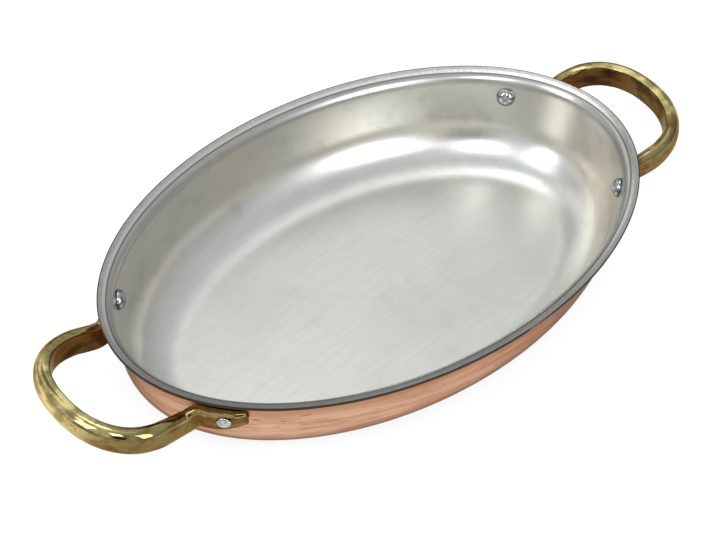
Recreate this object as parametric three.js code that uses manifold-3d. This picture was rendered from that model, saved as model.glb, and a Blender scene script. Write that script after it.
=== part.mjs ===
// Oval copper fish pan. A pressed copper body carries a thin grey metal lining that runs up over its
// flared lip, and a cast brass loop handle is riveted on at each end, two rivets to a handle.
// Millimetres, +Z up. The origin is on the underside, at the middle of the pan, and +X runs along
// the long axis towards the right-hand handle.

import * as THREE from 'three';
import { mergeVertices } from 'three/addons/utils/BufferGeometryUtils.js';
import Module from 'manifold-3d';

const wasm = await Module();
wasm.setup();

// Body: overall sizes, taken at the edge of the lip
const rimLength = 300;
const rimWidth = 194;
const panDepth = 50;

// Body: metal
const copperThickness = 0.9;
const liningThickness = 0.4;
const bondClearance = 0.3;

// Lip: a ground flat band outside, then a rounded shoulder down into the wall
const groundBandWidth = 3.9;
const groundBandDrop = 1.4;
const shoulderRadius = 6;
const copperSetback = 0.3;

// Wall and base, measured on the inside face
const wallLean = THREE.MathUtils.degToRad(8.8);
const baseCornerRadius = 25.7;
const endSlackShare = 0.085;

// Handle: where its rivets pierce the inside of the wall, and the ears that lie along the wall
const rivetHalfSpacing = 43;
const rivetDrop = 12.6;
const earPastRivet = 8.2;
const kneeShortOfRivet = 8.5;
const earTopDrop = 8;
const earRootHeight = 13;
const earEndHeight = 8;
const earRootThickness = 5.6;
const earEndThickness = 2.8;
const earTaperShare = 0.5;
const earClearance = 0.3;

// Handle: the loop, on the middle of its bar
const loopReach = 34.3;
const loopSpread = 1.5;
const loopStraightReach = 4;
const loopCornerPower = 2.25;
const loopSweepShare = 0.36;
const loopRootDrop = 17.6;
const loopTipDrop = 9;
const legRootReach = 10.7;
const legHeight = 15.4;
const legThickness = 6.9;
const tipHeight = 13.6;
const tipThickness = 8.4;

// Rivets
const shankDiameter = 5;
const innerHeadDiameter = 10;
const innerHeadHeight = 2.8;
const outerHeadDiameter = 7;
const outerHeadHeight = 1.7;
const headClearance = 0.45;
const shankClearance = 0.3;
const drillOverrun = 6;

// Facets, stations and search steps
const rimSteps = 64;
const shoulderSteps = 3;
const baseCornerSteps = 6;
const earStations = 6;
const loopStations = 15;
const pathStations = 30;
const rivetSteps = 16;
const domeSteps = 4;
const halvings = 40;

// Outlines of the handle's section: each point's place outwards from the flat inner face, as a share
// of the thickness, and its place above the middle, as a share of the height
const barSectionShares = [
  [0, 0.45], [0, -0.46], [0.07, -0.5], [0.42, -0.48], [0.74, -0.38], [0.94, -0.24],
  [1, -0.06], [0.96, 0.12], [0.78, 0.31], [0.54, 0.43], [0.28, 0.5], [0.06, 0.49],
];
const earSectionShares = [
  [0, 0.46], [0, -0.46], [0.1, -0.5], [0.55, -0.5], [0.85, -0.46], [0.97, -0.37],
  [1, -0.16], [1, 0.16], [0.97, 0.37], [0.85, 0.46], [0.55, 0.5], [0.1, 0.5],
];

const halfLength = rimLength / 2;
const halfWidth = rimWidth / 2;
const fullTurn = Math.PI * 2;
const metalStack = copperThickness + bondClearance + liningThickness;
const earEndHalfSpan = rivetHalfSpacing + earPastRivet;
const kneeHalfSpan = rivetHalfSpacing - kneeShortOfRivet;
const loopHalfWidth = kneeHalfSpan + loopSpread;

// The pan's outline in plan is an ellipse. A smaller outline lies inset along the ellipse's normal,
// and the wall falls away a little more at the two ends than along the sides.

function planNormal(angle) {
  return new THREE.Vector2(Math.cos(angle) / halfLength, Math.sin(angle) / halfWidth).normalize();
}

const groundBandSlope = Math.atan2(groundBandDrop, groundBandWidth);
const wallSlope = Math.PI / 2 - wallLean;
const shoulderWidth = shoulderRadius * (Math.sin(wallSlope) - Math.sin(groundBandSlope));
const shoulderDrop = shoulderRadius * (Math.cos(groundBandSlope) - Math.cos(wallSlope));
const lipInset = groundBandWidth + shoulderWidth;

function panPoint(angle, inset, height) {
  const slack = Math.max(0, inset - lipInset) * endSlackShare * Math.cos(angle) ** 2;
  const normal = planNormal(angle);
  return new THREE.Vector3(
    halfLength * Math.cos(angle) - (inset + slack) * normal.x,
    halfWidth * Math.sin(angle) - (inset + slack) * normal.y,
    height,
  );
}

// Half section of the lining's inside face, as (minus the inset, height), from the floor to the lip
function insideOutline() {
  const wallTop = new THREE.Vector2(-lipInset, panDepth - groundBandDrop - shoulderDrop);
  const cornerTopHeight = metalStack + baseCornerRadius * (1 - Math.sin(wallLean));
  const cornerTopReach = wallTop.x - (wallTop.y - cornerTopHeight) * Math.tan(wallLean);
  const corner = new THREE.Vector2(
    cornerTopReach - baseCornerRadius * Math.cos(wallLean),
    metalStack + baseCornerRadius,
  );
  const points = [];
  for (let step = 0; step <= baseCornerSteps; step += 1) {
    const turn = (step / baseCornerSteps) * wallSlope;
    points.push(new THREE.Vector2(
      corner.x + baseCornerRadius * Math.sin(turn),
      corner.y - baseCornerRadius * Math.cos(turn),
    ));
  }
  for (let step = 0; step <= shoulderSteps; step += 1) {
    const slope = wallSlope + (step / shoulderSteps) * (groundBandSlope - wallSlope);
    points.push(new THREE.Vector2(
      wallTop.x + shoulderRadius * (Math.sin(wallSlope) - Math.sin(slope)),
      wallTop.y + shoulderRadius * (Math.cos(slope) - Math.cos(wallSlope)),
    ));
  }
  points.push(new THREE.Vector2(0, panDepth));
  return points;
}

// The same outline on a face that lies deeper in the metal by a given thickness. Its last point is
// run out along the ground band until it stands a given setback inside the edge of the lip.
function deeperOutline(points, thickness, setback) {
  const directions = points.map((point, index) => {
    const next = points[index + 1] ?? point;
    const start = points[index + 1] ? point : points[index - 1];
    return next.clone().sub(start).normalize();
  });
  const floorDirection = new THREE.Vector2(1, 0);
  const moved = points.map((point, index) => {
    const before = directions[index - 1] ?? floorDirection;
    const after = directions[index];
    const first = new THREE.Vector2(before.y, -before.x);
    const second = new THREE.Vector2(after.y, -after.x);
    const mitre = first.clone().add(second).divideScalar(1 + first.dot(second));
    return point.clone().addScaledVector(mitre, thickness);
  });
  const edge = moved[moved.length - 1];
  edge.y += (-setback - edge.x) * Math.tan(groundBandSlope);
  edge.x = -setback;
  return moved;
}

function middleOf(ring) {
  return ring.reduce((sum, point) => sum.add(point), new THREE.Vector3()).divideScalar(ring.length);
}

// Closed skin through a row of closed rings, with a fan over each end. Each ring runs
// anticlockwise as seen from the end of the row.
function skinOver(rings) {
  const count = rings[0].length;
  const places = rings.flat();
  const triangles = [];
  for (let row = 0; row < rings.length - 1; row += 1) {
    for (let step = 0; step < count; step += 1) {
      const near = row * count + step;
      const nearNext = row * count + ((step + 1) % count);
      const far = near + count;
      const farNext = nearNext + count;
      triangles.push(near, nearNext, farNext, near, farNext, far);
    }
  }
  const lastRow = (rings.length - 1) * count;
  places.push(middleOf(rings[0]), middleOf(rings[rings.length - 1]));
  for (let step = 0; step < count; step += 1) {
    const next = (step + 1) % count;
    triangles.push(places.length - 2, next, step);
    triangles.push(places.length - 1, lastRow + step, lastRow + next);
  }
  const geometry = new THREE.BufferGeometry().setFromPoints(places);
  geometry.setIndex(triangles);
  return geometry;
}

function panRing(point) {
  return Array.from({ length: rimSteps }, (_, step) => (
    panPoint((step / rimSteps) * fullTurn, -point.x, point.y)
  ));
}

// One layer of the body, between an outer and an inner face
function layerGeometry(outerFace, innerFace) {
  const outline = [...outerFace, ...innerFace.toReversed()];
  return skinOver(outline.map(panRing));
}

const liningInside = insideOutline();
const liningOutside = deeperOutline(liningInside, liningThickness, 0);
const copperInside = deeperOutline(liningInside, liningThickness + bondClearance, copperSetback);
const copperOutside = deeperOutline(liningInside, metalStack, copperSetback);

// Solids that can be cut, for the rivets' holes

function solidOf(geometry) {
  const bare = geometry.clone();
  bare.deleteAttribute('normal');
  bare.deleteAttribute('uv');
  const merged = mergeVertices(bare);
  return new wasm.Manifold(new wasm.Mesh({
    numProp: 3,
    vertProperties: new Float32Array(merged.attributes.position.array),
    triVerts: new Uint32Array(merged.index.array),
  }));
}

function geometryOf(solid) {
  const cut = solid.getMesh();
  const geometry = new THREE.BufferGeometry();
  geometry.setAttribute('position', new THREE.BufferAttribute(cut.vertProperties, 3));
  geometry.setIndex(new THREE.BufferAttribute(cut.triVerts, 1));
  return geometry;
}

// Places on the wall. The outside of the copper is straight from the shoulder to the base corner.

function wallPoint(face, angle, height) {
  const bottom = face[baseCornerSteps];
  const top = face[baseCornerSteps + 1];
  const share = (height - bottom.y) / (top.y - bottom.y);
  const low = panPoint(angle, -bottom.x, bottom.y);
  return low.lerp(panPoint(angle, -top.x, top.y), share);
}

// Angle at which the wall stands a given distance from the long axis, found by halving
function wallAngle(face, halfSpan, height) {
  let low = 0;
  let high = Math.PI / 2;
  for (let halving = 0; halving < halvings; halving += 1) {
    const middle = (low + high) / 2;
    if (wallPoint(face, middle, height).y < halfSpan) low = middle;
    else high = middle;
  }
  return low;
}

// Outward normal of the wall in space: it points out, and down by the lean of the wall
function wallNormal(angle) {
  const flat = planNormal(angle);
  return new THREE.Vector3(
    flat.x * Math.cos(wallLean),
    flat.y * Math.cos(wallLean),
    -Math.sin(wallLean),
  );
}

// Handle. Its stations run from the end of one ear, along the wall to the knee, and out round half
// of the loop; the other half is the mirror image. Each station has the middle of the bar, its
// height and thickness, how far the ear's section has turned into the bar's, and its lean.

const earThicknessAt = (share) => (
  THREE.MathUtils.lerp(earEndThickness, earRootThickness, Math.sqrt(share))
);

function earStationAt(share) {
  const height = THREE.MathUtils.lerp(earEndHeight, earRootHeight, Math.min(1, share / earTaperShare));
  const thickness = earThicknessAt(share);
  const level = panDepth - earTopDrop - height / 2;
  const halfSpan = THREE.MathUtils.lerp(earEndHalfSpan, kneeHalfSpan, share);
  const angle = wallAngle(copperOutside, halfSpan, level);
  const middle = wallPoint(copperOutside, angle, level);
  middle.addScaledVector(wallNormal(angle), earClearance + thickness / 2);
  return { middle, height, thickness, barShare: 0, lean: wallLean };
}

const loopTip = halfLength + loopReach;
const loopTurnStart = halfLength + loopStraightReach;
const legRoot = halfLength - legRootReach;

function loopStationAt(share) {
  const turn = share * Math.PI / 2;
  const along = share === 0 ? 0 : Math.sin(turn) ** (2 / loopCornerPower);
  const across = Math.cos(turn) ** (2 / loopCornerPower);
  const x = loopTurnStart + (loopTip - loopTurnStart) * along;
  const y = share === 1 ? 0 : loopHalfWidth * across;
  const outward = (x - legRoot) / (loopTip - legRoot);
  const rise = THREE.MathUtils.lerp(outward, outward ** 2, loopSweepShare);
  const drop = THREE.MathUtils.lerp(loopRootDrop, loopTipDrop, rise);
  return {
    middle: new THREE.Vector3(x, y, panDepth - drop),
    height: THREE.MathUtils.lerp(legHeight, tipHeight, outward),
    thickness: THREE.MathUtils.lerp(legThickness, tipThickness, outward),
    barShare: 1,
    lean: 0,
  };
}

function legRootStation() {
  return {
    middle: new THREE.Vector3(legRoot, kneeHalfSpan, panDepth - loopRootDrop),
    height: (earRootHeight + legHeight) / 2,
    thickness: (earRootThickness + legThickness) / 2,
    barShare: 0.5,
    lean: wallLean / 2,
  };
}

function halfHandleStations() {
  const stations = [];
  for (let step = 0; step < earStations; step += 1) {
    stations.push(earStationAt(step / (earStations - 1)));
  }
  stations.push(legRootStation());
  for (let step = 0; step <= loopStations; step += 1) {
    stations.push(loopStationAt(step / loopStations));
  }
  return stations;
}

const mirrored = (station) => ({ ...station, middle: station.middle.clone().setY(-station.middle.y) });

// Size at a place part of the way from one station to the next
function between(stations, key, place) {
  const index = Math.min(Math.floor(place), stations.length - 2);
  return THREE.MathUtils.lerp(stations[index][key], stations[index + 1][key], place - index);
}

function handleRings() {
  const half = halfHandleStations();
  const stations = [...half, ...half.slice(0, -1).reverse().map(mirrored)];
  const path = new THREE.CatmullRomCurve3(stations.map((station) => station.middle), false, 'centripetal');
  const steps = pathStations * 2;
  return Array.from({ length: steps + 1 }, (_, step) => {
    const share = step / steps;
    const place = share * (stations.length - 1);
    return sectionRing(path, share, {
      height: between(stations, 'height', place),
      thickness: between(stations, 'thickness', place),
      barShare: between(stations, 'barShare', place),
      lean: between(stations, 'lean', place),
    });
  });
}

// Section of the handle, square to its path. The flat inner face looks at the wall and the opening.
function sectionRing(path, share, size) {
  const middle = path.getPoint(share);
  const along = path.getTangent(share);
  const level = new THREE.Vector3(-along.y, along.x, 0).normalize();
  const upright = along.clone().cross(level);
  const outward = level.clone().multiplyScalar(Math.cos(size.lean));
  outward.addScaledVector(upright, -Math.sin(size.lean));
  const upward = along.clone().cross(outward);
  return barSectionShares.map((barPoint, index) => {
    const earPoint = earSectionShares[index];
    const across = THREE.MathUtils.lerp(earPoint[0], barPoint[0], size.barShare) - 1 / 2;
    const above = THREE.MathUtils.lerp(earPoint[1], barPoint[1], size.barShare);
    return middle.clone()
      .addScaledVector(outward, across * size.thickness)
      .addScaledVector(upward, above * size.height);
  });
}

// Rivet, along its own axis, with its origin on the inside of the wall: the domed inner head lies
// towards minus Y, and the flatter outer head, upset over the ear, towards plus Y

const rivetAngle = wallAngle(liningInside, rivetHalfSpacing, panDepth - rivetDrop);
const rivetSeat = wallPoint(liningInside, rivetAngle, panDepth - rivetDrop);
const rivetAxis = wallNormal(rivetAngle);
const rivetEarSpan = wallPoint(copperOutside, rivetAngle, rivetSeat.z).y;
const rivetEarShare = (earEndHalfSpan - rivetEarSpan) / (earEndHalfSpan - kneeHalfSpan);
const gripLength = metalStack + earClearance + earThicknessAt(rivetEarShare);

function rivetGeometry() {
  const shank = shankDiameter / 2;
  const inner = innerHeadDiameter / 2;
  const outer = outerHeadDiameter / 2;
  const innerSeat = -headClearance;
  const outerSeat = gripLength + headClearance;
  const profile = [];
  for (let step = 0; step <= domeSteps; step += 1) {
    const turn = (step / domeSteps) * Math.PI / 2;
    const radius = step === 0 ? 0 : inner * Math.sin(turn);
    profile.push(new THREE.Vector2(radius, innerSeat - innerHeadHeight * Math.cos(turn)));
  }
  profile.push(new THREE.Vector2(shank, innerSeat));
  profile.push(new THREE.Vector2(shank, outerSeat));
  for (let step = domeSteps; step >= 0; step -= 1) {
    const turn = (step / domeSteps) * Math.PI / 2;
    const radius = step === 0 ? 0 : outer * Math.sin(turn);
    profile.push(new THREE.Vector2(radius, outerSeat + outerHeadHeight * Math.cos(turn)));
  }
  return new THREE.LatheGeometry(profile, rivetSteps);
}

function drillGeometry() {
  const radius = shankDiameter / 2 + shankClearance;
  const profile = [
    new THREE.Vector2(0, -drillOverrun),
    new THREE.Vector2(radius, -drillOverrun),
    new THREE.Vector2(radius, gripLength + drillOverrun),
    new THREE.Vector2(0, gripLength + drillOverrun),
  ];
  return new THREE.LatheGeometry(profile, rivetSteps);
}

const corners = [
  { name: 'right_back', x: 1, y: 1 },
  { name: 'right_front', x: 1, y: -1 },
  { name: 'left_back', x: -1, y: 1 },
  { name: 'left_front', x: -1, y: -1 },
];

function rivetPlace(corner) {
  const side = new THREE.Vector3(corner.x, corner.y, 1);
  const axis = rivetAxis.clone().multiply(side);
  const turn = new THREE.Quaternion().setFromUnitVectors(new THREE.Vector3(0, 1, 0), axis);
  return { position: rivetSeat.clone().multiply(side), turn };
}

function drillFor(corner) {
  const place = rivetPlace(corner);
  const geometry = drillGeometry().applyQuaternion(place.turn);
  return solidOf(geometry.translate(place.position.x, place.position.y, place.position.z));
}

function drilled(geometry, holes) {
  return geometryOf(holes.reduce((solid, corner) => solid.subtract(drillFor(corner)), solidOf(geometry)));
}

// Assembly

const finishes = {
  copper: { color: 0xc98a6b, roughness: 0.38, metalness: 1 },
  lining: { color: 0xc4c6c2, roughness: 0.36, metalness: 1 },
  brass: { color: 0xb09a55, roughness: 0.25, metalness: 1 },
  rivet: { color: 0xc9cbcc, roughness: 0.22, metalness: 1 },
};

function piece(name, geometry, finish) {
  const mesh = new THREE.Mesh(geometry, new THREE.MeshStandardMaterial(finishes[finish]));
  mesh.name = name;
  return mesh;
}

const pan = new THREE.Group();
pan.add(piece('copper_shell', drilled(layerGeometry(copperOutside, copperInside), corners), 'copper'));
pan.add(piece('lining', drilled(layerGeometry(liningOutside, liningInside), corners), 'lining'));

const rightCorners = corners.filter((corner) => corner.x > 0);
const handleGeometry = drilled(skinOver(handleRings()), rightCorners);
for (const [name, turn] of [['handle_right', 0], ['handle_left', Math.PI]]) {
  const handle = piece(name, handleGeometry, 'brass');
  handle.rotation.z = turn;
  pan.add(handle);
}

for (const corner of corners) {
  const place = rivetPlace(corner);
  const rivet = piece(`rivet_${corner.name}`, rivetGeometry(), 'rivet');
  rivet.position.copy(place.position);
  rivet.quaternion.copy(place.turn);
  pan.add(rivet);
}

export default pan;
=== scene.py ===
import math

import bmesh
import bpy
from mathutils import Matrix, Vector, noise


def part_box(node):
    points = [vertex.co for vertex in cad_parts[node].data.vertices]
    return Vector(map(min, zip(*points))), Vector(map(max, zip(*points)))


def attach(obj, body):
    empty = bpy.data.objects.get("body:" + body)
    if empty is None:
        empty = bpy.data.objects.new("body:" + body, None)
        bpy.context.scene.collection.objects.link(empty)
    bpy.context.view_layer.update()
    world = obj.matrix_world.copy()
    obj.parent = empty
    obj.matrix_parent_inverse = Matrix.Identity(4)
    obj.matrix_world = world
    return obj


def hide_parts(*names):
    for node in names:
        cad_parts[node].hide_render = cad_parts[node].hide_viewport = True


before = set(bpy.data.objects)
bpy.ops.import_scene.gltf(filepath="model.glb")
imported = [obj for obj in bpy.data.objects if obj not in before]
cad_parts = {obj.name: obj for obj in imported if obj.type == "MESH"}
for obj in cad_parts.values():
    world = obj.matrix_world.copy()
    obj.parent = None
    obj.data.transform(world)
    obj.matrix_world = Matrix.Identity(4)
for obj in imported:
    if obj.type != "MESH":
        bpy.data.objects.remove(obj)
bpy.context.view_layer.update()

# Copper body. One oval of sheet copper, pressed with a flat base, a rounded base corner, a leaning wall and
# a flared lip, then brushed round its outside. Its edge is trimmed a hair inside the edge of the lining.
mm = 0.001
lining_low, lining_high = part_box("lining")
half_length = lining_high.x
half_width = lining_high.y
pan_depth = lining_high.z
lining_sheet = 0.4 * mm
metal_stack = lining_low.z + lining_sheet
copper_sheet = 0.9 * mm
copper_setback = 0.3 * mm
copper_edge_rounding = 0.25 * mm

ground_band_width = 3.9 * mm
ground_band_drop = 1.4 * mm
shoulder_radius = 6 * mm
wall_lean = math.radians(8.8)
base_corner_radius = 25.7 * mm
end_slack_share = 0.085

rim_steps = 320
floor_rings = 20
base_corner_steps = 18
wall_steps = 4
shoulder_steps = 12
edge_steps = 4

band_slope = math.atan2(ground_band_drop, ground_band_width)
wall_slope = math.pi / 2 - wall_lean
shoulder_width = shoulder_radius * (math.sin(wall_slope) - math.sin(band_slope))
shoulder_drop = shoulder_radius * (math.cos(band_slope) - math.cos(wall_slope))
lip_inset = ground_band_width + shoulder_width
shoulder_top = pan_depth - ground_band_drop
wall_top = shoulder_top - shoulder_drop


def plan_normal(angle):
    return Vector((math.cos(angle) / half_length, math.sin(angle) / half_width, 0)).normalized()


def pan_point(angle, inset, height):
    slack = max(0, inset - lip_inset) * end_slack_share * math.cos(angle) ** 2
    rim = Vector((half_length * math.cos(angle), half_width * math.sin(angle), height))
    return rim - (inset + slack) * plan_normal(angle)


def inside_outline():
    """Half section of the inside face, from the floor to the lip's edge, as (minus the inset, height)."""
    corner_top = metal_stack + base_corner_radius * (1 - math.sin(wall_lean))
    corner_reach = -lip_inset - (wall_top - corner_top) * math.tan(wall_lean)
    corner_reach -= base_corner_radius * math.cos(wall_lean)
    corner = Vector((corner_reach, metal_stack + base_corner_radius))
    shoulder = Vector((-lip_inset, wall_top))
    shoulder += shoulder_radius * Vector((math.sin(wall_slope), -math.cos(wall_slope)))
    points = []
    for step in range(base_corner_steps + 1):
        turn = step / base_corner_steps * wall_slope
        points.append(corner + base_corner_radius * Vector((math.sin(turn), -math.cos(turn))))
    wall_foot = points[-1]
    for step in range(1, wall_steps):
        points.append(wall_foot.lerp(Vector((-lip_inset, wall_top)), step / wall_steps))
    for step in range(shoulder_steps + 1):
        turn = wall_slope + step / shoulder_steps * (band_slope - wall_slope)
        points.append(shoulder + shoulder_radius * Vector((-math.sin(turn), math.cos(turn))))
    points.append(Vector((0, pan_depth)))
    return points


def deeper_outline(points, depth, setback):
    """The same half section on a face deeper in the metal, run out to a setback inside the edge."""
    headings = [(after - before).normalized() for before, after in zip(points, points[1:])]
    headings = [Vector((1, 0)), *headings, headings[-1]]
    moved = []
    for point, before, after in zip(points, headings, headings[1:]):
        first = Vector((before.y, -before.x))
        second = Vector((after.y, -after.x))
        moved.append(point + depth * (first + second) / (1 + first.dot(second)))
    edge = moved[-1]
    edge.y += (-setback - edge.x) * math.tan(band_slope)
    edge.x = -setback
    return moved


def rounded(before, corner, after, radius, steps):
    """Arc that takes the sharpness off a corner of an outline, kept inside the two sides next to it."""
    back = before - corner
    ahead = after - corner
    half_angle = back.angle(ahead) / 2
    nearly_half_side = 0.49 * min(back.length, ahead.length)
    reach = min(radius / math.tan(half_angle), nearly_half_side)
    middle = (back.normalized() + ahead.normalized()).normalized()
    centre = corner + middle * reach / math.cos(half_angle)
    start = corner + back.normalized() * reach - centre
    end = corner + ahead.normalized() * reach - centre
    sweep = start.angle_signed(end)
    return [centre + Matrix.Rotation(-sweep * step / steps, 2) @ start for step in range(steps + 1)]


def edge_outline(lower, upper, rounding):
    """Lower face, rounded edge and upper face of one sheet, in one row from floor to floor."""
    turn_up = rounded(lower[-2], lower[-1], upper[-1], rounding, edge_steps)
    turn_in = rounded(lower[-1], upper[-1], upper[-2], rounding, edge_steps)
    return [*lower[:-1]], [*turn_up, *turn_in], [*reversed(upper[:-1])]


def pressed_sheet(name, outline, finishes):
    """Closed oval sheet. Each point of the outline, with its finish number, runs once round the pan."""
    mesh = bmesh.new()

    def oval_ring(point, share):
        ring = []
        for step in range(rim_steps):
            place = pan_point(step / rim_steps * math.tau, -point.x, point.y)
            ring.append(mesh.verts.new((place.x * share, place.y * share, place.z)))
        return ring

    rows = []
    below, above = outline[0], outline[-1]
    for step in range(1, floor_rings):
        rows.append((oval_ring(below[0], step / floor_rings), below[1]))
    for point, finish in outline:
        rows.append((oval_ring(point, 1), finish))
    for step in range(floor_rings - 1, 0, -1):
        rows.append((oval_ring(above[0], step / floor_rings), above[1]))
    for (row, finish), (next_row, _) in zip(rows, rows[1:]):
        for step in range(rim_steps):
            face = mesh.faces.new((row[step], row[step - 1], next_row[step - 1], next_row[step]))
            face.material_index = finish
    for row, finish in (rows[0], rows[-1]):
        pole = mesh.verts.new((0, 0, row[0].co.z))
        for step in range(rim_steps):
            face = mesh.faces.new((pole, row[step - 1], row[step]))
            face.material_index = finish
    return finished_piece(name, mesh, finishes)


def finished_piece(name, mesh, finishes):
    bmesh.ops.recalc_face_normals(mesh, faces=mesh.faces)
    for face in mesh.faces:
        face.smooth = True
    data = bpy.data.meshes.new(name)
    mesh.to_mesh(data)
    mesh.free()
    for finish in finishes:
        data.materials.append(finish)
    piece = bpy.data.objects.new(name, data)
    bpy.context.scene.collection.objects.link(piece)
    return piece


def metal(name, colour, roughness):
    """A plain metal finish, before its marks and stains are added."""
    material = bpy.data.materials.new(name)
    material.use_nodes = True
    surface = material.node_tree.nodes["Principled BSDF"]
    surface.inputs["Base Color"].default_value = colour
    surface.inputs["Metallic"].default_value = 1
    surface.inputs["Roughness"].default_value = roughness
    return material, material.node_tree, surface


def part_of_finish(tree, kind, inputs, **settings):
    """One node of a finish. Its inputs are numbers, colours or what other nodes give."""
    made = tree.nodes.new("ShaderNode" + kind)
    for setting, value in settings.items():
        setattr(made, setting, value)
    for socket, value in inputs.items():
        if isinstance(value, bpy.types.NodeSocket):
            tree.links.new(value, made.inputs[socket])
        else:
            made.inputs[socket].default_value = value
    return made


def combined(tree, operation, first, second):
    return part_of_finish(tree, "Math", {0: first, 1: second}, operation=operation).outputs[0]


def product(tree, first, second):
    return combined(tree, "MULTIPLY", first, second)


def total(tree, first, second):
    return combined(tree, "ADD", first, second)


def larger(tree, first, second):
    return combined(tree, "MAXIMUM", first, second)


def places_combined(tree, operation, first, second):
    return part_of_finish(tree, "VectorMath", {0: first, 1: second}, operation=operation).outputs[0]


def shifted(tree, place, shift):
    return places_combined(tree, "ADD", place, shift)


def stretched(tree, place, factors):
    return places_combined(tree, "MULTIPLY", place, factors)


def eased(tree, value, low, high):
    """0 below low, 1 above high and a smooth step between them. Low may be the larger of the two."""
    inputs = {"Value": value, "From Min": low, "From Max": high}
    return part_of_finish(tree, "MapRange", inputs, interpolation_type="SMOOTHSTEP").outputs[0]


def spread(tree, share, low, high):
    """A share from 0 to 1, spread out over low to high."""
    inputs = {"Value": share, "To Min": low, "To Max": high}
    return part_of_finish(tree, "MapRange", inputs).outputs[0]


def stained(tree, share, clean, stain):
    """One colour going over into another."""
    return part_of_finish(tree, "Mix", {0: share, 6: clean, 7: stain}, data_type="RGBA").outputs[2]


def blended(tree, share, first, second):
    """One number going over into another."""
    return part_of_finish(tree, "Mix", {0: share, 2: first, 3: second}, data_type="FLOAT").outputs[0]


def grain(tree, place, grains_per_metre, detail=3.0, roughness=0.5):
    inputs = {"Vector": place, "Scale": grains_per_metre, "Detail": detail, "Roughness": roughness}
    return part_of_finish(tree, "TexNoise", inputs).outputs[0]


def place_on_pan(tree):
    return part_of_finish(tree, "TexCoord", {}).outputs["Object"]


def height_on_pan(tree):
    return part_of_finish(tree, "SeparateXYZ", {0: place_on_pan(tree)}).outputs["Z"]


def way_round(tree):
    """Where a point lies round the oval, as a unit vector, so that marks run round it without a seam."""
    flat = stretched(tree, place_on_pan(tree), (1 / half_length, 1 / half_width, 0))
    return part_of_finish(tree, "VectorMath", {0: flat}, operation="NORMALIZE").outputs[0]


def marks_round(tree, length, width, detail=2.0):
    """Fine marks of a given length and width that run round the pan, left by brushing it as it turns."""
    along = stretched(tree, way_round(tree), (half_length / length,) * 3)
    apart = stretched(tree, place_on_pan(tree), (0, 0, 1 / width))
    return grain(tree, shifted(tree, along, apart), 1.0, detail)


def raised(tree, surface, height, depth):
    bump = part_of_finish(tree, "Bump", {"Height": height, "Distance": depth, "Strength": 1.0})
    tree.links.new(bump.outputs[0], surface.inputs["Normal"])


def brushed_copper():
    """Brushed round the pan, with painted shade: deeper below the lip, and nearly black under the lip, at
    the foot and where it turns away from view.
    """
    clean = (0.680, 0.430, 0.298, 1)
    deeper = (0.400, 0.188, 0.098, 1)
    tarnish_and_shade = (0.085, 0.050, 0.036, 1)
    below_lip_shade_from = wall_top - 13 * mm
    below_lip_shade_to = wall_top - 4 * mm
    lip_underside_shade_from = wall_top + 1 * mm
    foot_shade_from = 18 * mm
    foot_shade_to = 9 * mm
    mark_depth = 0.03 * mm
    material, tree, surface = metal("brushed copper", clean, 0.36)
    surface.inputs["Specular Tint"].default_value = (0.58, 0.45, 0.41, 1)
    height = height_on_pan(tree)
    fine = marks_round(tree, length=26 * mm, width=0.35 * mm)
    broad = marks_round(tree, length=34 * mm, width=2.6 * mm, detail=4.0)
    streaks = total(tree, product(tree, fine, 0.35), product(tree, broad, 0.65))
    colour = stained(tree, product(tree, eased(tree, streaks, 0.42, 0.66), 0.7), clean, deeper)
    clouds = grain(tree, place_on_pan(tree), 28)
    colour = stained(tree, product(tree, eased(tree, clouds, 0.45, 0.8), 0.5), colour, deeper)
    scuffs = eased(tree, marks_round(tree, length=9 * mm, width=1.6 * mm, detail=5.0), 0.62, 0.70)
    colour = stained(tree, product(tree, scuffs, 0.45), colour, tarnish_and_shade)
    # Painted shade: the wall below the lip goes deeper, standing in for the lip's shadow and its reflection
    # in the wall.
    painted_shade_near_lip = product(tree, eased(tree, height, below_lip_shade_from, below_lip_shade_to), 0.65)
    colour = stained(tree, painted_shade_near_lip, colour, deeper)
    # Painted shade: nearly black under the lip, at the foot and where the surface turns away from view,
    # standing in for shadow and dark reflections.
    painted_shade_under_lip = eased(tree, height, lip_underside_shade_from, shoulder_top)
    foot = eased(tree, height, foot_shade_from, foot_shade_to)
    rim = part_of_finish(tree, "LayerWeight", {"Blend": 0.5}).outputs["Facing"]
    painted_shade_turned_away = product(tree, eased(tree, rim, 0.62, 0.95), 0.85)
    painted_shade = larger(tree, product(tree, larger(tree, painted_shade_under_lip, foot), 0.9), painted_shade_turned_away)
    tree.links.new(stained(tree, painted_shade, colour, tarnish_and_shade), surface.inputs["Base Color"])
    roughness = spread(tree, product(tree, streaks, clouds), 0.25, 0.55)
    tree.links.new(roughness, surface.inputs["Roughness"])
    raised(tree, surface, streaks, mark_depth)
    return material


def trimmed_edge():
    """Sheared and filed edge of a sheet, brown where no polish reached it and pink where it did. The brown
    is nearly black, partly painted shade along the edge.
    """
    # Nearly black brown, partly painted shade that gives the edge a dark outline.
    brown = (0.050, 0.035, 0.027, 1)
    pink = (0.420, 0.240, 0.180, 1)
    nick_depth = 0.05 * mm
    material, tree, surface = metal("trimmed edge", brown, 0.45)
    patches = grain(tree, way_round(tree), 1.9, 4.0)
    nicks = grain(tree, place_on_pan(tree), 900)
    share = product(tree, eased(tree, patches, 0.54, 0.68), eased(tree, nicks, 0.3, 0.6))
    tree.links.new(stained(tree, share, brown, pink), surface.inputs["Base Color"])
    tree.links.new(spread(tree, nicks, 0.35, 0.6), surface.inputs["Roughness"])
    raised(tree, surface, nicks, nick_depth)
    return material


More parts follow.
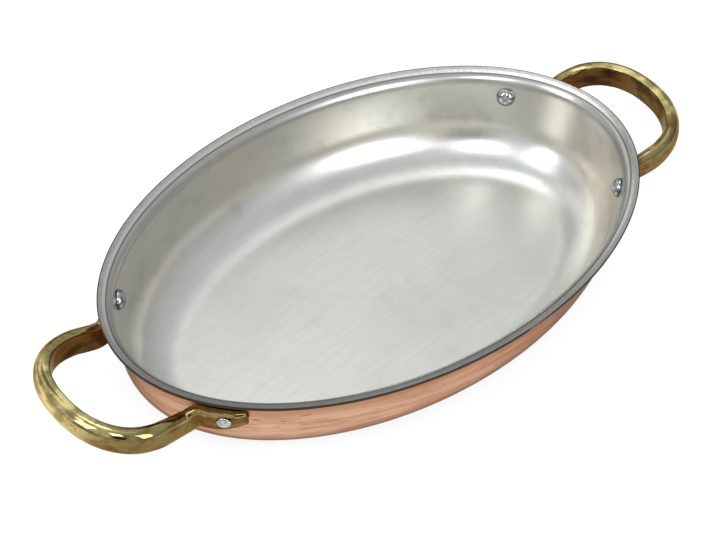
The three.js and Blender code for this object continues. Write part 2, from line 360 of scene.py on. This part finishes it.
inside_face = inside_outline()
copper_outside = deeper_outline(inside_face, metal_stack, copper_setback)
copper_inside = deeper_outline(inside_face, metal_stack - copper_sheet, copper_setback)
outer_skin, copper_edge, hidden_skin = edge_outline(copper_outside, copper_inside, copper_edge_rounding)
copper_row = [(point, 0) for point in outer_skin]
copper_row += [(point, 1) for point in copper_edge]
copper_row += [(point, 0) for point in hidden_skin]
edge_finish = trimmed_edge()
copper_body = pressed_sheet("copper_body", copper_row, [brushed_copper(), edge_finish])
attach(copper_body, "root")
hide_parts("copper_shell")

# Lining. A thin grey sheet, bonded to the inside of the copper and carried over the lip. The bowl is scoured
# to satin. The outer half of the lip is a flat band, ground across and rubbed smooth by the bend.
lining_edge_rounding = 0.32 * mm
burr_width = 0.55 * mm
bond_line = 0.01 * mm


def scoured_marks(tree, patch, turn_radius, mark_width):
    """Arcs left by a scouring pad that was set down again and again, turning each time on a new centre."""
    place = stretched(tree, place_on_pan(tree), (1 / patch,) * 3)
    patches = part_of_finish(tree, "TexVoronoi", {"Vector": place, "Scale": 1.0, "Randomness": 1.0})
    away = places_combined(tree, "SUBTRACT", patches.outputs["Color"], (0.5, 0.5, 0.5))
    away = stretched(tree, away, (2 * turn_radius / patch,) * 3)
    centre = shifted(tree, patches.outputs["Position"], away)
    radius = part_of_finish(tree, "VectorMath", {0: place, 1: centre}, operation="DISTANCE").outputs["Value"]
    arcs = part_of_finish(
        tree, "TexNoise", {"W": radius, "Scale": patch / mark_width, "Detail": 2.0}, noise_dimensions="1D",
    ).outputs[0]
    breaks = grain(tree, place_on_pan(tree), 60, 1.0)
    return product(tree, eased(tree, arcs, 0.58, 0.78), eased(tree, breaks, 0.5, 0.66))


def rubbed_strokes(tree, direction, length, width):
    """Long faint strokes left by rubbing one way, swaying a little."""
    sway_reach = 3 * mm
    sway = part_of_finish(tree, "TexNoise", {"Vector": place_on_pan(tree), "Scale": 14.0, "Detail": 1.0})
    sway = stretched(tree, sway.outputs["Color"], (sway_reach, sway_reach, 0))
    swayed = shifted(tree, place_on_pan(tree), sway)
    turned = part_of_finish(
        tree, "VectorRotate", {"Vector": swayed, "Angle": -direction}, rotation_type="Z_AXIS",
    ).outputs[0]
    return grain(tree, stretched(tree, turned, (1 / length, 1 / width, 1 / width)), 1.0, 3.0, 0.6)


def scoured_bowl():
    """Strokes on the floor, marks round the wall, stains, patches of painted reflection on the wall, painted
    shade on the upper wall and shoulder, and a painted dark shade line where the flat band begins.
    """
    clean = (0.735, 0.716, 0.672, 1)
    dull = (0.610, 0.592, 0.553, 1)
    grime_and_shade = (0.330, 0.315, 0.290, 1)
    bend_shade = (0.150, 0.150, 0.140, 1)
    reflected_tone = (0.800, 0.690, 0.560, 1)
    mark_depth = 0.006 * mm
    material, tree, surface = metal("scoured bowl", clean, 0.24)
    height = height_on_pan(tree)
    on_floor = eased(tree, height, metal_stack + 7 * mm, metal_stack + 1 * mm)
    off_floor = eased(tree, height, metal_stack + 0.1 * mm, metal_stack + 1.5 * mm)
    on_wall = eased(tree, height, metal_stack + 1 * mm, metal_stack + 12 * mm)
    on_shoulder = eased(tree, height, wall_top - 1.5 * mm, wall_top + 1 * mm)
    upright = product(
        tree,
        eased(tree, height, metal_stack + 9 * mm, metal_stack + 17 * mm),
        eased(tree, height, shoulder_top - 1 * mm, wall_top),
    )
    at_bend = product(
        tree,
        eased(tree, height, shoulder_top - 0.45 * mm, shoulder_top - 0.15 * mm),
        eased(tree, height, shoulder_top + 0.15 * mm, shoulder_top + 0.02 * mm),
    )
    clouds = grain(tree, place_on_pan(tree), 16, 3.0)
    blotches = grain(tree, place_on_pan(tree), 70, 4.0, 0.6)
    reflection_patches = eased(tree, grain(tree, place_on_pan(tree), 22, 1.0), 0.48, 0.66)
    long_strokes = rubbed_strokes(tree, math.radians(8), length=26 * mm, width=1.1 * mm)
    cross_strokes = rubbed_strokes(tree, math.radians(-62), length=22 * mm, width=0.9 * mm)
    strokes = blended(tree, 0.35, long_strokes, cross_strokes)
    arcs = scoured_marks(tree, patch=30 * mm, turn_radius=55 * mm, mark_width=0.9 * mm)
    round_marks = marks_round(tree, length=30 * mm, width=0.9 * mm)
    marks = eased(tree, blended(tree, on_wall, strokes, round_marks), 0.42, 0.66)
    stains = eased(tree, blotches, 0.50, 0.74)
    colour = stained(tree, product(tree, eased(tree, clouds, 0.42, 0.72), 0.46), clean, dull)
    colour = stained(tree, product(tree, marks, spread(tree, on_wall, 0.44, 0.20)), colour, dull)
    colour = stained(tree, product(tree, arcs, 0.16), colour, dull)
    # Painted reflection: patches of a warmer, paler tone on the wall.
    colour = stained(tree, product(tree, product(tree, reflection_patches, on_wall), 0.4), colour, reflected_tone)
    colour = stained(tree, product(tree, stains, spread(tree, on_wall, 0.08, 0.27)), colour, grime_and_shade)
    # Painted shade: the upper wall and the lip's shoulder are darkened.
    colour = stained(tree, product(tree, upright, 0.10), colour, grime_and_shade)
    colour = stained(tree, product(tree, on_shoulder, 0.5), colour, grime_and_shade)
    # Painted shade: a dark line at the top of the shoulder, where the flat band begins.
    colour = stained(tree, product(tree, at_bend, 0.85), colour, bend_shade)
    tree.links.new(colour, surface.inputs["Base Color"])
    roughness = spread(tree, blotches, 0.277, 0.29)
    for place_share, rougher in ((arcs, 0.03), (upright, 0.02), (on_floor, 0.03)):
        roughness = total(tree, roughness, product(tree, place_share, rougher))
    tree.links.new(roughness, surface.inputs["Roughness"])
    floor_relief = total(tree, strokes, product(tree, arcs, 0.3))
    wall_relief = spread(tree, round_marks, 0.38, 0.62)
    raised(tree, surface, blended(tree, off_floor, floor_relief, wall_relief), mark_depth)
    return material


def ground_band():
    """Flat of the lip. Its grinding marks point outwards like spokes. It is rubbed smooth by the bend."""
    clean = (0.530, 0.505, 0.480, 1)
    dull = (0.250, 0.240, 0.215, 1)
    rubbed = (0.690, 0.672, 0.630, 1)
    rubbed_from = shoulder_top + 0.80 * mm
    rubbed_to = shoulder_top + 0.35 * mm
    spoke_depth = 0.05 * mm
    material, tree, surface = metal("ground band", clean, 0.3)
    spokes = grain(tree, way_round(tree), 260, 3.0, 0.65)
    broad = grain(tree, way_round(tree), 24, 3.0)
    share = total(tree, product(tree, spokes, 0.6), product(tree, broad, 0.4))
    share = product(tree, eased(tree, share, 0.35, 0.68), 0.45)
    by_bend = eased(tree, height_on_pan(tree), rubbed_from, rubbed_to)
    colour = stained(tree, by_bend, stained(tree, share, clean, dull), rubbed)
    tree.links.new(colour, surface.inputs["Base Color"])
    roughness = blended(tree, by_bend, spread(tree, spokes, 0.26, 0.46), 0.12)
    tree.links.new(roughness, surface.inputs["Roughness"])
    raised(tree, surface, spokes, spoke_depth)
    return material


lining_outside = deeper_outline(inside_face, metal_stack - copper_sheet - bond_line, 0)
bonded_skin, lining_edge, bowl_skin = edge_outline(lining_outside, inside_face, lining_edge_rounding)
lining_row = [(point, 0) for point in bonded_skin]
burr_end = Vector((-burr_width, pan_depth - burr_width * math.tan(band_slope)))
lining_row += [(point, 2) for point in lining_edge]
lining_row += [(burr_end, 1)]
lining_row += [(point, 0) for point in bowl_skin]
grey_lining = pressed_sheet("grey_lining", lining_row, [scoured_bowl(), ground_band(), edge_finish])
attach(grey_lining, "root")
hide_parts("lining")

# Handles. Each is one brass casting, a loop with a flat inner face and two ears that lie along the wall. It
# was filed and polished by hand outside, left browner inside with painted shade added on its sides, inner
# face, underside and outline, and is held by a rivet through each ear.
rivet_half_spacing = 43 * mm
rivet_drop = 12.6 * mm
ear_past_rivet = 8.2 * mm
knee_short_of_rivet = 8.5 * mm
ear_top_drop = 8 * mm
ear_root_height = 13 * mm
ear_end_height = 8 * mm
ear_root_thickness = 5.6 * mm
ear_end_thickness = 2.8 * mm
ear_taper_share = 0.5
ear_clearance = 0.3 * mm
ear_end_rounding = 0.6 * mm
loop_reach = 34.3 * mm
loop_spread = 1.5 * mm
loop_straight_reach = 4 * mm
loop_corner_power = 2.25
loop_sweep_share = 0.36
loop_root_drop = 17.6 * mm
loop_tip_drop = 9 * mm
leg_root_reach = 10.7 * mm
leg_height = 15.4 * mm
leg_thickness = 6.9 * mm
tip_height = 13.6 * mm
tip_thickness = 8.4 * mm
ear_stations = 6
loop_stations = 15
bar_rings = 420
corner_steps = 5
side_steps = 4
halvings = 40
cast_waviness = 0.16 * mm
cast_wave_length = 9 * mm
cast_ripple_length = 0.4 * cast_wave_length

ear_end_half_span = rivet_half_spacing + ear_past_rivet
knee_half_span = rivet_half_spacing - knee_short_of_rivet
loop_half_width = knee_half_span + loop_spread
loop_tip = half_length + loop_reach
loop_turn_start = half_length + loop_straight_reach
leg_root = half_length - leg_root_reach

# Corners of the bar's section and of the ear's. Each has its place outwards from the flat inner face, as a
# share of the thickness, its place above the middle, as a share of the height, and its rounding.
bar_corners = [
    (0, -0.42, 1.2 * mm), (0, 0.41, 0.4 * mm), (0.04, 0.45, 0.4 * mm), (0.10, 0.468, 0.6 * mm),
    (0.40, 0.505, 9 * mm), (0.66, 0.465, 9 * mm), (0.89, 0.32, 9 * mm), (1, 0.08, 9 * mm),
    (0.99, -0.17, 9 * mm), (0.84, -0.37, 9 * mm), (0.56, -0.49, 9 * mm), (0.2, -0.505, 9 * mm),
]
ear_corners = [
    (0, -0.49, 0.3 * mm), (0, 0.30, 0.3 * mm), (0.10, 0.44, 0.3 * mm), (0.22, 0.475, 0.3 * mm),
    (0.45, 0.50, 0.4 * mm), (0.72, 0.50, 0.8 * mm), (1.0, 0.38, 1.2 * mm), (1.01, 0.14, 4 * mm),
    (1.01, -0.16, 4 * mm), (1.0, -0.38, 1.0 * mm), (0.90, -0.48, 1.0 * mm), (0.5, -0.505, 0.5 * mm),
]


def mix(low, high, share):
    return low + (high - low) * share


def wall_point(face, angle, height):
    """Place on the straight of the wall, on one of its faces."""
    bottom = face[base_corner_steps]
    top = face[base_corner_steps + wall_steps]
    share = (height - bottom.y) / (top.y - bottom.y)
    return pan_point(angle, -bottom.x, bottom.y).lerp(pan_point(angle, -top.x, top.y), share)


def wall_angle(face, half_span, height):
    """Angle at which the wall stands a given distance from the long axis, found by halving."""
    low = 0
    high = math.pi / 2
    for _ in range(halvings):
        middle = (low + high) / 2
        if wall_point(face, middle, height).y < half_span:
            low = middle
        else:
            high = middle
    return low


def wall_normal(angle):
    return plan_normal(angle) * math.cos(wall_lean) - Vector((0, 0, math.sin(wall_lean)))


def ear_thickness(share):
    return mix(ear_end_thickness, ear_root_thickness, math.sqrt(share))


def ear_station(share):
    """Middle of a section of the ear, and (height, thickness, share of the bar's form, lean)."""
    height = mix(ear_end_height, ear_root_height, min(1, share / ear_taper_share))
    thickness = ear_thickness(share)
    level = pan_depth - ear_top_drop - height / 2
    angle = wall_angle(copper_outside, mix(ear_end_half_span, knee_half_span, share), level)
    middle = wall_point(copper_outside, angle, level) + wall_normal(angle) * (ear_clearance + thickness / 2)
    return middle, (height, thickness, 0, wall_lean)


def loop_station(share):
    """The same for a section of the loop, from its leg to its tip."""
    turn = share * math.pi / 2
    along = math.sin(turn) ** (2 / loop_corner_power)
    across = max(0, math.cos(turn)) ** (2 / loop_corner_power)
    x = mix(loop_turn_start, loop_tip, along)
    outward = (x - leg_root) / (loop_tip - leg_root)
    drop = mix(loop_root_drop, loop_tip_drop, mix(outward, outward ** 2, loop_sweep_share))
    middle = Vector((x, loop_half_width * across, pan_depth - drop))
    return middle, (mix(leg_height, tip_height, outward), mix(leg_thickness, tip_thickness, outward), 1, 0)


def handle_stations():
    """Sections of a handle, from the end of one ear, round the loop, to the end of the other."""
    half = [ear_station(step / (ear_stations - 1)) for step in range(ear_stations)]
    root_height = (ear_root_height + leg_height) / 2
    root_thickness = (ear_root_thickness + leg_thickness) / 2
    root_place = Vector((leg_root, knee_half_span, pan_depth - loop_root_drop))
    half.append((root_place, (root_height, root_thickness, 0.5, wall_lean / 2)))
    half += [loop_station(step / loop_stations) for step in range(loop_stations + 1)]
    half[-1][0].y = 0
    other = [(Vector((place.x, -place.y, place.z)), size) for place, size in reversed(half[:-1])]
    return half + other


def bar_path(middles, place):
    """Point and heading on a smooth line through the middles of the bar."""
    points = [2 * middles[0] - middles[1], *middles, 2 * middles[-1] - middles[-2]]
    index = min(int(place), len(middles) - 2)
    part = place - index
    first, start, end, last = points[index:index + 4]
    before = math.sqrt((start - first).length)
    span = math.sqrt((end - start).length)
    after = math.sqrt((last - end).length)
    leave = ((start - first) / before - (end - first) / (before + span) + (end - start) / span) * span
    arrive = ((end - start) / span - (last - start) / (span + after) + (last - end) / after) * span
    bend = 3 * (end - start) - 2 * leave - arrive
    twist = 2 * (start - end) + leave + arrive
    point = start + leave * part + bend * part ** 2 + twist * part ** 3
    return point, (leave + 2 * bend * part + 3 * twist * part ** 2).normalized()


def bar_section(height, thickness, bar_share, inset):
    """Outline across the bar or an ear, as (outwards, upwards), drawn in by an inset at the ear's end."""
    corners = []
    for ear, bar in zip(ear_corners, bar_corners):
        across = mix(ear[0], bar[0], bar_share) - 0.5
        above = mix(ear[1], bar[1], bar_share)
        place = Vector((across * (thickness - 2 * inset), above * (height - 2 * inset)))
        corners.append((place, mix(ear[2], bar[2], bar_share)))
    outline = []
    for index, (corner, rounding) in enumerate(corners):
        before = corners[index - 1][0]
        after = corners[(index + 1) % len(corners)][0]
        outline.append(rounded(before, corner, after, rounding, corner_steps))
    points = []
    for index, turn in enumerate(outline):
        points += turn
        following = outline[(index + 1) % len(outline)][0]
        points += [turn[-1].lerp(following, step / side_steps) for step in range(1, side_steps)]
    return points


def rounded_ear_end(section, way):
    """Sections that round off the end of an ear, from the last full one outwards."""
    point, heading, size, _ = section
    sections = []
    for step in range(edge_steps + 1):
        lean = step / edge_steps * math.pi / 2
        inset = ear_end_rounding * (1 - math.cos(lean))
        shift = heading * way * ear_end_rounding * (1 - math.sin(lean))
        sections.append((point + shift, heading, size, inset))
    return sections


def cast_handle(name, turn, pits, finish):
    """Loop handle. A pit is a small blowhole: (distance from the ear's end, height, radius, depth)."""
    stations = handle_stations()
    middles = [place for place, _ in stations]
    last = len(stations) - 1
    rows = []
    for step in range(bar_rings + 1):
        place = step / bar_rings * last
        index = min(int(place), last - 1)
        size = [mix(a, b, place - index) for a, b in zip(stations[index][1], stations[index + 1][1])]
        point, heading = bar_path(middles, place)
        rows.append((point, heading, size, 0))
    rows = [*rounded_ear_end(rows[0], 1)[::-1], *rows[1:-1], *rounded_ear_end(rows[-1], -1)]

    mesh = bmesh.new()
    across_layer = mesh.verts.layers.float.new("outward_share")
    above_layer = mesh.verts.layers.float.new("upward_share")
    tip_layer = mesh.verts.layers.float.new("tip_share")
    travelled = 0
    skin = []
    for number, (point, heading, size, inset) in enumerate(rows):
        if number:
            travelled += (point - rows[number - 1][0]).length
        height, thickness, bar_share, lean = size
        level = Vector((-heading.y, heading.x, 0)).normalized()
        upright = heading.cross(level)
        outward = level * math.cos(lean) - upright * math.sin(lean)
        upward = heading.cross(outward)
        ring = []
        for spot in bar_section(height, thickness, bar_share, inset):
            place = point + outward * spot.x + upward * spot.y
            wave = noise.noise(place / cast_wave_length) + 0.5 * noise.noise(place / cast_ripple_length)
            depth = cast_waviness * (0.5 + 0.5 * wave)
            for distance, above, pit_radius, pit_depth in pits:
                if spot.x > 0:
                    away = math.hypot(travelled - distance, spot.y - above)
                    depth += pit_depth * max(0, 1 - (away / pit_radius) ** 2) ** 2
            facing = (outward * spot.x / thickness + upward * spot.y / height).normalized()
            vert = mesh.verts.new(place - facing * depth)
            vert[across_layer] = spot.x / thickness + 0.5
            vert[above_layer] = spot.y / height
            vert[tip_layer] = 1 - abs(2 * number / (len(rows) - 1) - 1)
            ring.append(vert)
        skin.append(ring)
    count = len(skin[0])
    for row, next_row in zip(skin, skin[1:]):
        for step in range(count):
            mesh.faces.new((row[step - 1], row[step], next_row[step], next_row[step - 1]))
    mesh.faces.new(skin[0])
    mesh.faces.new(skin[-1][::-1])
    mesh.transform(Matrix.Rotation(turn, 4, "Z"))
    return finished_piece(name, mesh, [finish])


def own_share(tree, layer):
    """A share that was stored on the points of the piece."""
    return part_of_finish(tree, "Attribute", {}, attribute_name=layer).outputs["Fac"]


def cast_brass():
    """Polished on top, and olive to dark brown on the sides, legs, ears, inner face and underside; on the
    sides, inner face and underside this is partly painted shade, and the outline is painted dark where it
    turns away from view.
    """
    polished = (0.840, 0.690, 0.315, 1)
    olive = (0.135, 0.094, 0.027, 1)
    brown = (0.108, 0.040, 0.010, 1)
    dark = (0.024, 0.011, 0.004, 1)
    mottle_grains = (80, 80, 190)
    scratch_grains = (260, 260, 1500)
    relief_depth = 0.05 * mm
    material, tree, surface = metal("cast brass", polished, 0.16)
    surface.inputs["Specular Tint"].default_value = (0.75, 0.65, 0.50, 1)
    place = place_on_pan(tree)
    outward = own_share(tree, "outward_share")
    upward = own_share(tree, "upward_share")
    tip = own_share(tree, "tip_share")
    mottle = grain(tree, stretched(tree, place, mottle_grains), 1.0, 4.0, 0.6)
    specks = grain(tree, place, 420, 3.0, 0.6)
    scratches = grain(tree, stretched(tree, place, scratch_grains), 1.0, 2.0)
    inner_face = eased(tree, outward, 0.05, 0.012)
    underside = eased(tree, upward, -0.30, -0.44)
    unpolished_and_shaded = larger(tree, inner_face, underside)
    # Sides: olive to brown patina, partly painted shade.
    side = product(tree, eased(tree, upward, 0.46, 0.28), eased(tree, tip, 1.05, 0.60))
    leg = product(tree, eased(tree, tip, 0.80, 0.60), 0.7)
    colour = stained(tree, product(tree, eased(tree, mottle, 0.42, 0.64), 0.68), polished, olive)
    aged_and_shade = stained(tree, eased(tree, mottle, 0.38, 0.62), olive, brown)
    colour = stained(tree, product(tree, larger(tree, side, leg), 0.9), colour, aged_and_shade)
    colour = stained(tree, product(tree, eased(tree, specks, 0.56, 0.72), 0.4), colour, brown)
    ear = product(tree, eased(tree, tip, 0.32, 0.22), eased(tree, upward, 0.46, 0.36))
    ear = product(tree, ear, eased(tree, grain(tree, place, 150, 4.0, 0.6), 0.38, 0.60))
    colour = stained(tree, product(tree, ear, 0.8), colour, brown)
    # Inner face and underside: left rough from the casting and browner, darkened further as painted shade.
    casting_skin_and_shade = stained(tree, eased(tree, mottle, 0.35, 0.65), brown, dark)
    colour = stained(tree, product(tree, unpolished_and_shaded, 0.9), colour, casting_skin_and_shade)
    # Painted shade: the outline darkens where the surface turns away from view.
    rim = part_of_finish(tree, "LayerWeight", {"Blend": 0.5}).outputs["Facing"]
    colour = stained(tree, product(tree, eased(tree, rim, 0.78, 0.97), 0.75), colour, dark)
    tree.links.new(colour, surface.inputs["Base Color"])
    roughness = spread(tree, mottle, 0.04, 0.13)
    roughness = total(tree, roughness, product(tree, unpolished_and_shaded, 0.16))
    tree.links.new(roughness, surface.inputs["Roughness"])
    relief = product(tree, specks, spread(tree, unpolished_and_shaded, 0.25, 1.0))
    relief = total(tree, relief, product(tree, scratches, 0.12))
    raised(tree, surface, relief, relief_depth)
    return material


ear_pits = [(3 * mm, 0.6 * mm, 0.6 * mm, 0.35 * mm), (6.9 * mm, 0.4 * mm, 0.7 * mm, 0.35 * mm)]
brass = cast_brass()
for name, node, turn, pits in (
    ("loop_handle_right", "handle_right", 0, []),
    ("loop_handle_left", "handle_left", math.pi, ear_pits),
):
    handle = cast_handle(name, turn, pits, brass)
    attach(handle, "root")
    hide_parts(node)

# Rivets. A white metal rivet goes through the wall and each ear. Its large domed head is inside the pan, and
# the smaller outer head was hammered over on the ear.
shank_radius = 2.5 * mm
inner_head_radius = 5 * mm
inner_head_height = 3.9 * mm
outer_head_radius = 3.5 * mm
outer_head_height = 2.15 * mm
head_skirt = 0.35 * mm
seat_sink = 0.05 * mm
rivet_steps = 64
dome_steps = 14
hammer_depth = 0.12 * mm
hammer_size = 2.6 * mm
crown_dent = 0.3 * hammer_depth
just_over_shank = 1.01 * shank_radius

rivet_angle = wall_angle(inside_face, rivet_half_spacing, pan_depth - rivet_drop)
rivet_seat = wall_point(inside_face, rivet_angle, pan_depth - rivet_drop)
rivet_ear_span = wall_point(copper_outside, rivet_angle, rivet_seat.z).y
rivet_ear_share = (ear_end_half_span - rivet_ear_span) / (ear_end_half_span - knee_half_span)
grip_length = metal_stack + ear_clearance + ear_thickness(rivet_ear_share)


def dome(radius, height, way, seat):
    """Half outline of a head, from its top down to its skirt, as (radius, place along the rivet)."""
    points = []
    for step in range(dome_steps + 1):
        turn = step / dome_steps * math.pi / 2
        rise = head_skirt + (height - head_skirt) * math.cos(turn)
        points.append((radius * math.sin(turn), seat + way * rise))
    points.append((radius, seat))
    return points


def set_rivet(name, side_x, side_y, finish):
    """Shank and two heads in one. The two sides, each 1 or -1, say which quarter of the pan it is in."""
    side = Vector((side_x, side_y, 1))
    seat = rivet_seat * side
    axis = wall_normal(rivet_angle) * side
    turn = Vector((0, 0, 1)).rotation_difference(axis)
    inner = dome(inner_head_radius, inner_head_height, -1, seat_sink)
    outer = dome(outer_head_radius, outer_head_height, 1, grip_length - seat_sink)
    profile = inner + [(shank_radius, seat_sink), (shank_radius, grip_length - seat_sink)] + outer[::-1]
    mesh = bmesh.new()
    foot_layer = mesh.verts.layers.float.new("foot_share")
    head_feet = (dome_steps, len(profile) - 3 - dome_steps)
    rings = []
    for number, (radius, along) in enumerate(profile[1:-1]):
        at_foot = min(abs(number - foot) for foot in head_feet) < 2
        on_head = radius > just_over_shank or along < 0 or along > grip_length
        ring = []
        for step in range(rivet_steps):
            angle = step / rivet_steps * math.tau
            spot = Vector((radius * math.cos(angle), radius * math.sin(angle), along))
            if on_head:
                blow = noise.noise((seat + turn @ spot) / hammer_size)
                spot.z -= math.copysign(hammer_depth * abs(blow), along)
            vert = mesh.verts.new(seat + turn @ spot)
            vert[foot_layer] = at_foot
            ring.append(vert)
        rings.append(ring)
    for row, next_row in zip(rings, rings[1:]):
        for step in range(rivet_steps):
            mesh.faces.new((row[step - 1], row[step], next_row[step], next_row[step - 1]))
    for ring, (_, along) in ((rings[0], profile[0]), (rings[-1], profile[-1])):
        top = along - math.copysign(crown_dent, along)
        pole = mesh.verts.new(seat + turn @ Vector((0, 0, top)))
        for step in range(rivet_steps):
            mesh.faces.new((pole, ring[step - 1], ring[step]))
    return finished_piece(name, mesh, [finish])


def bright_rivet():
    """Bright with small dark scuffs, and with painted contact shade round the foot of each head."""
    clean = (0.480, 0.485, 0.485, 1)
    dull = (0.150, 0.155, 0.160, 1)
    head_foot_shade = (0.045, 0.043, 0.040, 1)
    scuff_depth = 0.018 * mm
    material, tree, surface = metal("bright rivet", clean, 0.14)
    scuffs = grain(tree, place_on_pan(tree), 520, 3.0, 0.5)
    clouds = grain(tree, place_on_pan(tree), 260)
    share = product(tree, eased(tree, scuffs, 0.44, 0.66), 0.7)
    colour = stained(tree, share, clean, dull)
    # Painted contact shade: nearly black round the foot of each head.
    colour = stained(tree, eased(tree, own_share(tree, "foot_share"), 0.1, 0.9), colour, head_foot_shade)
    tree.links.new(colour, surface.inputs["Base Color"])
    tree.links.new(spread(tree, clouds, 0.06, 0.2), surface.inputs["Roughness"])
    raised(tree, surface, scuffs, scuff_depth)
    return material


rivet_finish = bright_rivet()
for corner, side_x, side_y in (
    ("right_back", 1, 1),
    ("right_front", 1, -1),
    ("left_back", -1, 1),
    ("left_front", -1, -1),
):
    rivet = set_rivet("handle_rivet_" + corner, side_x, side_y, rivet_finish)
    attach(rivet, "root")
    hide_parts("rivet_" + corner)

# Ground. A wide white sheet that the pan stands on. It shows white to the camera and in the metal, and keeps
# the pan's soft shadow.
ground_half_width = 4
ground_gap = 0.2 * mm


def white_ground():
    material = bpy.data.materials.new("white ground")
    material.use_nodes = True
    tree = material.node_tree
    tree.nodes.clear()
    paper = part_of_finish(tree, "BsdfDiffuse", {"Color": (0.82, 0.82, 0.82, 1)})
    shaded = part_of_finish(tree, "BsdfDiffuse", {"Color": (0.34, 0.34, 0.34, 1)})
    glow = part_of_finish(tree, "Emission", {"Color": (1, 1, 1, 1), "Strength": 0.8})
    shown = part_of_finish(tree, "AddShader", {0: shaded.outputs[0], 1: glow.outputs[0]})
    ray = part_of_finish(tree, "LightPath", {})
    seen = larger(tree, ray.outputs["Is Camera Ray"], ray.outputs["Is Glossy Ray"])
    seen = larger(tree, seen, ray.outputs["Is Transmission Ray"])
    mixed = part_of_finish(tree, "MixShader", {0: seen, 1: paper.outputs[0], 2: shown.outputs[0]})
    part_of_finish(tree, "OutputMaterial", {"Surface": mixed.outputs[0]})
    return material


ground_mesh = bmesh.new()
bmesh.ops.create_grid(
    ground_mesh, x_segments=8, y_segments=8, size=ground_half_width,
    matrix=Matrix.Translation((0, 0, -ground_gap)),
)
ground = finished_piece("ground", ground_mesh, [white_ground()])

# Light. Five cool soft boxes round and above the pan, in a dim room with two dark patches in front and a
# paler far wall and ceiling. The camera sees the boxes and the room only in the metal.
box_distance = 1.5
box_tint = (0.94, 1.00, 1.03)
box_power = 4

# Directions from the pan to the patches of the room that are darker or paler than the rest
pale_front = (-0.57, -0.80, 0.19)
dark_gap = (-0.199, -0.611, 0.766)
pale_wall = (0.140, 0.770, 0.622)
pale_ceiling = (0.226, 0.158, 0.961)
low_left = (-0.801, 0.561, 0.208)
dark_front = (-0.468, -0.780, 0.415)
dull_wall = (0.202, 0.703, 0.682)
low_far = (0.668, 0.742, 0.052)


def dim_room():
    room = bpy.data.worlds.new("dim room")
    room.use_nodes = True
    tree = room.node_tree
    tree.nodes.clear()
    direction = part_of_finish(tree, "TexCoord", {}).outputs["Generated"]
    rise = part_of_finish(tree, "SeparateXYZ", {0: direction}).outputs["Z"]
    colour = stained(tree, eased(tree, rise, 0.1, 0.75), (0.39, 0.415, 0.425, 1), (0.60, 0.64, 0.66, 1))
    for side, low, high, shade in (
        (pale_front, 0.78, 0.94, (0.77, 0.80, 0.82, 1)),
        (dark_gap, 0.978, 0.992, (0.08, 0.08, 0.08, 1)),
        (dark_front, 0.965, 0.988, (0.06, 0.06, 0.06, 1)),
        (low_left, 0.90, 0.97, (0.74, 0.77, 0.77, 1)),
        (pale_wall, 0.80, 0.94, (0.98, 1.02, 1.03, 1)),
        (pale_ceiling, 0.945, 0.985, (1.02, 1.07, 1.08, 1)),
        (dull_wall, 0.972, 0.99, (0.35, 0.36, 0.37, 1)),
        (low_far, 0.84, 0.96, (0.26, 0.275, 0.28, 1)),
    ):
        facing = part_of_finish(
            tree, "VectorMath", {0: direction, 1: side}, operation="DOT_PRODUCT",
        ).outputs["Value"]
        colour = stained(tree, eased(tree, facing, low, high), colour, shade)
    lit = part_of_finish(tree, "Background", {"Color": colour, "Strength": 1.0})
    part_of_finish(tree, "OutputWorld", {"Surface": lit.outputs[0]})
    return room


def soft_box(name, azimuth, elevation, wide, high, brightness):
    """Flat lamp that looks wide by high degrees large from the pan. Its azimuth is counted from +X to +Y."""
    turn = math.radians(azimuth)
    rise = math.radians(elevation)
    way = Vector((math.cos(turn) * math.cos(rise), math.sin(turn) * math.cos(rise), math.sin(rise)))
    lamp = bpy.data.lights.new(name, "AREA")
    lamp.shape = "RECTANGLE"
    lamp.size = 2 * box_distance * math.tan(math.radians(wide / 2))
    lamp.size_y = 2 * box_distance * math.tan(math.radians(high / 2))
    lamp.energy = brightness * box_power * lamp.size * lamp.size_y
    lamp.color = box_tint
    box = bpy.data.objects.new(name, lamp)
    box.location = way * box_distance
    box.rotation_euler = way.to_track_quat("Z", "Y").to_euler()
    box.visible_camera = False
    bpy.context.scene.collection.objects.link(box)


bpy.context.scene.world = dim_room()
soft_box("box front", 276, 29, 14, 34, 4.6)
soft_box("box front left", 234, 51, 12, 22, 4.8)
soft_box("box left", 179, 41, 16, 34, 3.1)
soft_box("box left high", 165, 62, 20, 12, 1.5)
soft_box("box overhead", 58, 69, 14, 14, 2.3)

# Camera. It looks down on the pan from the front left, at about 45 degrees, from a little over a metre away.
# Its place, slide, roll and focal length were worked out from points read off the photo.
view_azimuth = math.radians(-41.317)
view_elevation = math.radians(45.399)
view_roll = math.radians(3.299)
view_distance = 1064.863 * mm
view_slide_right = -9.584 * mm
view_slide_up = -22.588 * mm
picture_width = 716
focal_pixels = 2197.548
sensor_width = 36

back = Vector((
    math.sin(view_azimuth) * math.cos(view_elevation),
    -math.cos(view_azimuth) * math.cos(view_elevation),
    math.sin(view_elevation),
))
level_right = Vector((0, 0, 1)).cross(back).normalized()
level_up = back.cross(level_right)
right = level_right * math.cos(view_roll) + level_up * math.sin(view_roll)
up = level_up * math.cos(view_roll) - level_right * math.sin(view_roll)
camera = bpy.data.objects.new("camera", bpy.data.cameras.new("camera"))
camera.data.sensor_width = sensor_width
camera.data.lens = focal_pixels / picture_width * sensor_width
rim_centre = Vector((0, 0, pan_depth))
camera.location = rim_centre + right * view_slide_right + up * view_slide_up + back * view_distance
camera.rotation_euler = Matrix((right, up, back)).transposed().to_euler()
bpy.context.scene.collection.objects.link(camera)
bpy.context.scene.camera = camera
bpy.context.scene.view_settings.view_transform = "Standard"
